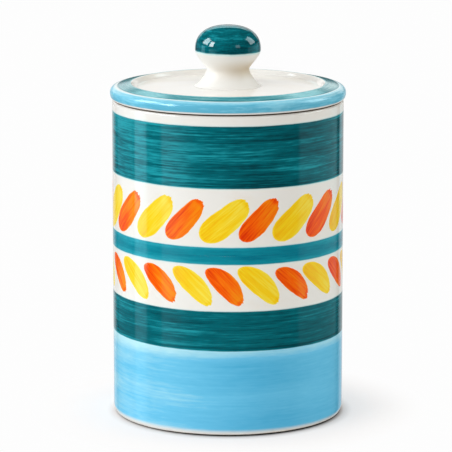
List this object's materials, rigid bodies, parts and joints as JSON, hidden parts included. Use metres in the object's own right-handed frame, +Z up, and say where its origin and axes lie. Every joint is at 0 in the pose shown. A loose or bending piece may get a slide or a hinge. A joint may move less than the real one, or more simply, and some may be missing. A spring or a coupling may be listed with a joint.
{
  "type": "lidded ceramic canister",
  "caption": "Tall round ceramic kitchen jar with a dished lift-off lid and mushroom knob, painted in teal and light blue bands with leaning rows of orange and yellow brush dabs.",
  "frame": {"origin": "centre of the foot ring, on the surface that the jar stands on", "axes": "+Z up along the jar's turning axis, through the middle of the knob; +Y away from the viewer and +X to the right in the pictured view"},
  "size_m": [0.1222, 0.1222, 0.2026],
  "materials": {
    "jar_glaze": "glossy clear glaze over brushed teal and light blue bands on a warm white ground, with a bare foot ring",
    "lid_glaze": "glossy warm white glaze with a light blue rolled edge and a thin teal ring inside it",
    "knob_glaze": "glossy brushed teal crown over a warm white neck",
    "seal_silicone": "translucent pale silicone, satin"
  },
  "bodies": {
    "jar": {"jar_body": "jar_glaze"},
    "lid": {"lid": "lid_glaze", "lid_knob": "knob_glaze", "seal_ring": "seal_silicone"}
  },
  "joints": [
    {"name": "lid_lift", "type": "slide", "parent": "jar", "child": "lid", "axis": [0, 0, 1], "range_m": [0, 0.12]}
  ]
}
